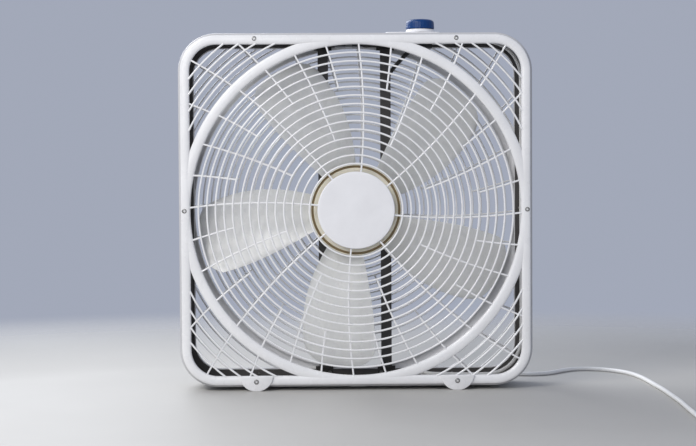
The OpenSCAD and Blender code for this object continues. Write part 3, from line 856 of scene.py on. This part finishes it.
def make_screws():
    holes = [(-SCREW_X, SCREW_LINE), (SCREW_X, SCREW_LINE), (-SCREW_LINE, 0), (SCREW_LINE, 0)]
    feet = [(-SCREW_X, -SCREW_LINE), (SCREW_X, -SCREW_LINE)]
    foot_face = -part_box("left_foot")[0].y
    for side, to in (("front", place), ("rear", rear_place)):
        skin = Skin()
        for k, (x, y) in enumerate(holes):
            screw_head(skin, x, y, CROWN - 1.3 * MM, SCREW_HEAD_R, 2.1 * MM, to, 17 + 31 * k)
            lathe(skin, [(SHANK_R, CROWN - 2.3 * MM), (SHANK_R, CROWN - 11 * MM),
                         (0.4 * MM, CROWN - 12.3 * MM)], lambda a, b, h: to(x + a, y + b, h), 16)
        skin.make(f"{side}_screws", "fan_body", [zinc_with_painted_shade], (f"{side}_grille_screws",))
    skin = Skin()
    for to in (place, rear_place):
        for k, (x, y) in enumerate(feet):
            screw_head(skin, x, y, foot_face - 0.7 * MM, FOOT_SCREW_HEAD_R, 1.7 * MM, to,
                       40 + 23 * k)
            lathe(skin, [(SHANK_R, foot_face - 1.5 * MM), (SHANK_R, foot_face - 13 * MM),
                         (0.4 * MM, foot_face - 14.5 * MM)],
                  lambda a, b, h: to(x + a, y + b, h), 16)
    skin.make("foot_fixing_screws", "fan_body", [zinc_with_painted_shade], ("foot_screws",))


make_screws()

# ---- Feet ----

FOOT_R = 25.6 * MM
FOOT_DROP = BAND[0].z


def foot_outline(top, steps=36, shrink=0.0):
    """The half-round foot's outline about its screw line, flat on the floor and at the top."""
    low = -HALF - FOOT_DROP
    cy = low - 0.6 * MM + FOOT_R
    r = FOOT_R - shrink
    low, top = low + shrink, top - shrink
    a0 = math.degrees(math.asin(max(-1, min(1, (top - cy) / r))))
    a1 = math.degrees(math.asin((low - cy) / r))
    right = [polar(r, a0 + (a1 - a0) * i / steps) for i in range(steps + 1)]
    left = [(-x, y) for x, y in reversed(right)]
    return [(x, y + cy) for x, y in right + left]


def make_foot(name, side):
    """A runner the depth of the housing, with a half-round plate at the front and the back."""
    skin = Skin()
    face = -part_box(name)[0].y
    x0 = side * SCREW_X
    runner = foot_outline(-HALF)
    skin.loft([[place(x0 + x, y, h) for x, y in runner] for h in (-CROWN, CROWN)])
    for to in (place, rear_place):
        rings = []
        for h, shrink in ((CROWN - 0.02 * MM, 0), (face - 0.9 * MM, 0), (face - 0.5 * MM, 0.12 * MM),
                          (face - 0.2 * MM, 0.35 * MM), (face, 0.8 * MM)):
            rings.append([to(x0 + x, y, h) for x, y in foot_outline(-RIM_INNER, 36, shrink)])
        skin.loft(rings)
    skin.make(name + "_moulding", "fan_body", [grille_white], (name,))


make_foot("left_foot", -1)
make_foot("right_foot", 1)

# ---- Impeller ----


def blade_span(u):
    """The blade's width as an angle, at a fraction u of the way out."""
    return 46 - 6 * u - 12 * u * u


def blade_rise(u):
    """How far the blade rises from its leading to its trailing edge, in millimetres."""
    return 44 - 4 * u


def blade_grid(rows, cols):
    """The blade's middle surface: rows run out from the hub, columns from lead to trail."""
    grid = []
    for i in range(rows + 1):
        u = i / rows
        row = []
        for k in range(cols + 1):
            v = k / cols
            edge = abs(2 * v - 1)
            root = HUB_R - 1.6 * MM
            r = root + (TIP_R - root - 20 * MM * edge ** 4) * u
            a = (v - 0.5) * blade_span(u) + 7 * u
            h = 8 + (v - 0.5) * blade_rise(u) - 5 * u * (1 - edge * edge)
            row.append((*polar(r, a), h * MM))
        grid.append(row)
    return grid


def make_blade(skin, turn, rows=36, cols=30):
    """One blade, thinned towards its edges and tip, turned about the axis."""
    grid = [[Vector(p) for p in row] for row in blade_grid(rows, cols)]
    layers = []
    for side in (-1, 1):
        layer = []
        for i in range(rows + 1):
            row = []
            for k in range(cols + 1):
                du = grid[min(i + 1, rows)][k] - grid[max(i - 1, 0)][k]
                dv = grid[i][min(k + 1, cols)] - grid[i][max(k - 1, 0)]
                across = min(k, cols - k) / cols
                out = (rows - i) / rows
                thin = math.sqrt(min(1.0, 0.06 + 9 * across)) * math.sqrt(min(1.0, 0.06 + 20 * out))
                row.append(grid[i][k] + side * BLADE_T / 2 * thin * du.cross(dv).normalized())
            layer.append(row)
        layers.append(layer)
    loops = [front + back[::-1] for front, back in zip(*layers)]
    c, s = polar(1, turn)
    skin.loft([[place(p.x * c - p.y * s, p.x * s + p.y * c, p.z) for p in loop] for loop in loops])


def make_impeller():
    """Blades and hub as one moulding: milky blades, an ivory hub and a groove coloured dark brown as
    painted shade.
    """
    skin = Skin()
    for i in range(BLADES):
        make_blade(skin, BLADE_TURN + 360 / BLADES * i)
    wall = HUB_R - 3 * MM
    face = HUB_FRONT
    hub = [(4 * MM, 25.5 * MM), (10.4 * MM, 25.5 * MM), (11 * MM, 26 * MM), (11 * MM, face - 3 * MM),
           (wall, face - 3 * MM), (wall, HUB_BACK), (HUB_R - 0.8 * MM, HUB_BACK),
           (HUB_R, HUB_BACK + 0.8 * MM), (HUB_R, face - 1.5 * MM)]
    hub += [(HUB_R - 1.5 * MM + x, face - 1.5 * MM + y) for x, y in
            (polar(1.5 * MM, a) for a in range(15, 91, 15))]
    first = len(hub)
    hub += [(HUB_R - 1.7 * MM, face - 0.2 * MM), (HUB_R - 2.1 * MM, face - 1.6 * MM),
            (HUB_R - 4.4 * MM, face - 1.6 * MM), (HUB_R - 5.2 * MM, face - 0.9 * MM)]
    last = len(hub) - 1
    hub += [(HUB_R - 6.5 * MM, face), (HUB_R - 22 * MM, face), (HUB_R - 23 * MM, face - 0.5 * MM),
            (17 * MM, face - 0.5 * MM), (16 * MM, face), (15 * MM, face - 1.6 * MM),
            (4 * MM, face - 1.6 * MM)]
    start = len(skin.faces)
    revolve(skin, hub, slot=1)
    n = len(hub)
    for i in range(start, len(skin.faces)):
        if first <= (i - start) % n < last:
            skin.slots[i] = 2
    for turn in range(0, 360, 60):
        c, s = polar(1, turn)
        rib = rounded(2 * MM, 5.4 * MM, 12, 6)
        rings = []
        for r in (10.5 * MM, HUB_R - 2.4 * MM):
            rings.append([place(c * r - s * u, s * r + c * u, face - 5.6 * MM + v)
                          for u, v in rib])
        skin.loft(rings, slot=1)
    skin.make("blades_and_hub", "impeller",
              [milky_blade, ivory_hub, groove_painted_shade], ("fan_blade",), 30)


make_impeller()

# ---- Knob, collar and switch plate ----


def make_knob():
    """Round knob with grips round its side, a shallow ring on top and a plain pointer."""
    x, y, _ = middle(KNOB)
    r, z0, z1 = (KNOB[1].x - KNOB[0].x) / 2, KNOB[0].z, KNOB[1].z
    high = z1 - z0
    steps, grips, grip_rows = 192, 30, range(7, 15)
    profile = [(2.9 * MM, 0), (6 * MM, 0), (6 * MM, 2 * MM), (r - 4 * MM, 2 * MM),
               (r - 3 * MM, 0.1 * MM), (r - 1 * MM, 0), (r - 0.2 * MM, 0.3 * MM), (r, 1.1 * MM)]
    profile += [(r - 0.5 * MM * t, 1.1 * MM + (high - 6.6 * MM) * t) for t in
                (0.15, 0.3, 0.5, 0.7, 0.85, 1.0)]
    profile += [(r - 9.5 * MM + 1.8 * a, high - 5.5 * MM + b) for a, b in
                (polar(5 * MM, d) for d in (10, 25, 40, 55, 68, 80))]
    profile += [(r * 0.53, high - 0.42 * MM), (r * 0.49, high - 0.6 * MM),
                (r * 0.45, high - 0.35 * MM), (r * 0.34, high - 0.15 * MM),
                (r * 0.2, high - 0.02 * MM), (0.3 * MM, high)]
    rings = []
    for j, (pr, pz) in enumerate(profile):
        ring = []
        for i in range(steps):
            a = 360 * i / steps
            grip = 0.0
            if j in grip_rows:
                grip = 0.28 * MM * max(0.0, math.cos(math.radians(a * grips))) ** 2
            u, v = polar(pr - grip, a)
            ring.append((x + u, y + v, z0 + pz))
        rings.append(ring)
    skin = Skin()
    skin.loft(rings)
    skin.make("speed_knob_cap", "speed_knob", [navy_knob], ("knob",), 50)
    mark = Skin()
    outline = rounded(1.3 * MM, 8 * MM, 20, 4)
    mark.loft([[(x + u, y + r * 0.3 + v, z1 + d) for u, v in outline]
               for d in (-0.9 * MM, -0.05 * MM)])
    mark.make("knob_pointer", "speed_knob", [cap_white])


def make_collar():
    """Stepped white skirt under the knob."""
    x, y, _ = middle(COLLAR)
    r, z0, high = (COLLAR[1].x - COLLAR[0].x) / 2, COLLAR[0].z, COLLAR[1].z - COLLAR[0].z
    profile = [(9 * MM, 0), (r - 0.5 * MM, 0), (r, 0.4 * MM), (r, 1.3 * MM), (r - 0.4 * MM, 1.9 * MM),
               (r - 1.1 * MM, 2.5 * MM), (r - 1.5 * MM, 3.2 * MM), (r - 1.6 * MM, high - 0.6 * MM),
               (r - 2.2 * MM, high), (9.6 * MM, high), (9 * MM, high - 0.6 * MM)]
    skin = Skin()
    revolve(skin, profile, lambda a, b, h: (x + a, y + b, z0 + h), 128)
    skin.make("knob_collar_ring", "fan_body", [cap_white], ("knob_collar",))


def make_plate():
    """Low plate round the switch, with soft edges and speed marks of raised dots."""
    cx, cy, _ = middle(PLATE)
    wide, deep = PLATE[1].x - PLATE[0].x, PLATE[1].y - PLATE[0].y
    z0, z1 = PLATE[0].z, PLATE[1].z
    skin = Skin()
    rings = []
    for d, inset in ((0, 0), (1.6 * MM, 0), (2.3 * MM, 0.2 * MM), (2.8 * MM, 0.7 * MM),
                     (z1 - z0, 1.5 * MM)):
        rings.append([(cx + u, cy + v, z0 + d) for u, v in
                      rounded(wide - 2 * inset, deep - 2 * inset, 64, 9)])
    skin.loft(rings)
    kx = middle(KNOB)[0]
    for count, angle in ((1, 150), (2, 180), (3, 210)):
        for k in range(count):
            u, v = polar(29.5 * MM + k * 3.2 * MM, angle)
            dot = [(1.1 * MM, -0.3 * MM), (1.0 * MM, 0.25 * MM), (0.6 * MM, 0.45 * MM),
                   (0.1 * MM, 0.5 * MM)]
            lathe(skin, dot, lambda a, b, h: (kx + u + a, cy + v + b, z1 + h), 16)
    skin.make("switch_plate_moulding", "fan_body", [cap_white],
              ("switch_plate",))


make_knob()
make_collar()
make_plate()

# ---- Leads inside ----

SLEEVE_ROUTE = [
    (88, 17, 517), (88, 24, 516), (86, 32, 512), (80, 38, 506), (72, 41, 498), (64, 42, 489),
    (56, 42, 479), (50, 42, 467), (48, 42, 452), (48, 42, 428), (48, 42, 400), (48, 42, 372),
    (48, 42, 348), (46, 42, 337), (41, 41, 326), (35, 39, 318), (32, 35, 310), (30, 31, 303),
    (29, 27, 298),
]
LEAD_ROUTE = [
    (105, 44, 15), (106, 37, 15), (111, 30, 14.6), (121, 26, 14), (140, 26, 13.5),
    (168, 26, 13), (195, 26, 13), (212, 26, 14), (228, 26, 20), (241, 26, 30), (250, 26, 44),
    (255, 26, 60), (256, 26, 90), (256, 26, 180), (256, 26, 269), (256, 26, 358),
    (256, 26, 448), (255, 26, 478), (250, 26, 494), (241, 26, 508), (228, 26, 518),
    (212, 26, 524), (195, 26, 525), (165, 25, 525), (145, 20, 524), (132, 11, 522),
    (116.5, 8, 522),
]


def make_lead(name, route, r, material, node):
    """A lead or sleeve along a route given in millimetres."""
    skin = Skin()
    tube(skin, smooth_line([[v * MM for v in p] for p in route], 5), r * MM, 16)
    skin.make(name, "fan_body", [material], (node,))


make_lead("braided_harness", SLEEVE_ROUTE, 3.2, sleeve_braid, "harness_sleeve")
make_lead("inner_supply_lead", LEAD_ROUTE, 3, cord_skin, "supply_lead")

# ---- CAD nodes that stay, with their own materials ----

KEPT = {
    "left_strut": black_paint, "right_strut": black_paint, "strut_screws": zinc_with_painted_shade,
    "motor_rear_shell": motor_plate, "motor_front_shell": motor_plate,
    "stator_core": laminations, "windings": copper, "rotor": laminations, "shaft": ground,
    "thrust_washers": fibre, "front_bearing": bronze, "rear_bearing": bronze,
    "motor_through_bolts": zinc_with_painted_shade, "motor_through_nuts": zinc_with_painted_shade, "motor_mount_screws": zinc_with_painted_shade,
    "motor_mount_nuts": zinc_with_painted_shade, "blade_nut": zinc_with_painted_shade, "switch_body": black_plastic,
    "switch_spindle": ground, "switch_nut": zinc_with_painted_shade, "capacitor": black_plastic,
    "capacitor_strap": zinc_with_painted_shade, "capacitor_leads": black_plastic,
}


def dress(name, material):
    """Gives a kept CAD node its material, smooth shading and softened edges."""
    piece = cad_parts[name]
    piece.data.materials.clear()
    piece.data.materials.append(material)
    piece.data.shade_smooth()
    piece.data.set_sharp_from_angle(angle=math.radians(30))
    soften = piece.modifiers.new("soften", "BEVEL")
    soften.width = 0.25 * MM
    soften.segments = 2
    soften.limit_method = "ANGLE"
    soften.angle_limit = math.radians(50)
    soften.harden_normals = False


for node_name, finish in KEPT.items():
    dress(node_name, finish)

# ---- Floor, backdrop and light ----


FLOOR_DEPTH = 0.01
FLOOR_R = 3
FADE_CENTRE = (0.05, -0.6, 0)
FADE_START, FADE_END = 0.9, 2.0


def make_stage():
    """A pale round floor whose edge fades out into the background, so that no view is blocked."""
    skin = Skin()
    profile = [(0.01, -FLOOR_DEPTH), (FLOOR_R, -FLOOR_DEPTH), (FLOOR_R, 0), (FLOOR_R / 2, 0),
               (0.01, 0)]
    lathe(skin, profile, lambda x, y, z: (x, y, z), 96)
    p = Paint("pale_floor", (0.49, 0.48, 0.455), 0.55)
    p.tint(p.span(p.noise(3, 3), 0.0, 1.0, 0.3, 0.7), (0.46, 0.45, 0.425))
    away = p.node("ShaderNodeVectorMath", operation="DISTANCE")
    p.link(p.where, away.inputs[0])
    away.inputs[1].default_value = FADE_CENTRE
    p.link(p.span(away.outputs["Value"], 1.0, 0.0, FADE_START, FADE_END), p.shader.inputs["Alpha"])
    mesh = bpy.data.meshes.new("floor")
    mesh.from_pydata(skin.points, [], skin.faces)
    mesh.materials.append(p.mat)
    floor = bpy.data.objects.new("floor", mesh)
    bpy.context.scene.collection.objects.link(floor)


def area_light(name, at, to, size, power, colour=(1, 1, 1)):
    data = bpy.data.lights.new(name, "AREA")
    data.shape = "RECTANGLE"
    data.size, data.size_y = size
    data.energy = power
    data.color = colour
    lamp = bpy.data.objects.new(name, data)
    lamp.location = at
    lamp.rotation_euler = (Vector(to) - Vector(at)).to_track_quat("-Z", "Y").to_euler()
    bpy.context.scene.collection.objects.link(lamp)


def make_light():
    world = bpy.data.worlds.new("studio")
    world.use_nodes = True
    sky = world.node_tree.nodes["Background"]
    sky.inputs["Color"].default_value = (0.52, 0.565, 0.69, 1)
    sky.inputs["Strength"].default_value = 0.7
    bpy.context.scene.world = world
    bpy.context.scene.view_settings.view_transform = "Standard"
    area_light("key", (-1.6, -1.8, 1.9), (0, 0, 0.25), (1.3, 1.0), 46, (1.0, 0.975, 0.94))
    area_light("fill", (-0.8, -2.8, 0.9), (0, 0, 0.25), (1.4, 0.9), 14, (1.0, 0.98, 0.955))
    area_light("window", (-0.9, 1.1, 1.3), (0.05, 0, 0.25), (1.5, 1.2), 30, (0.95, 0.97, 1.0))


make_stage()
make_light()
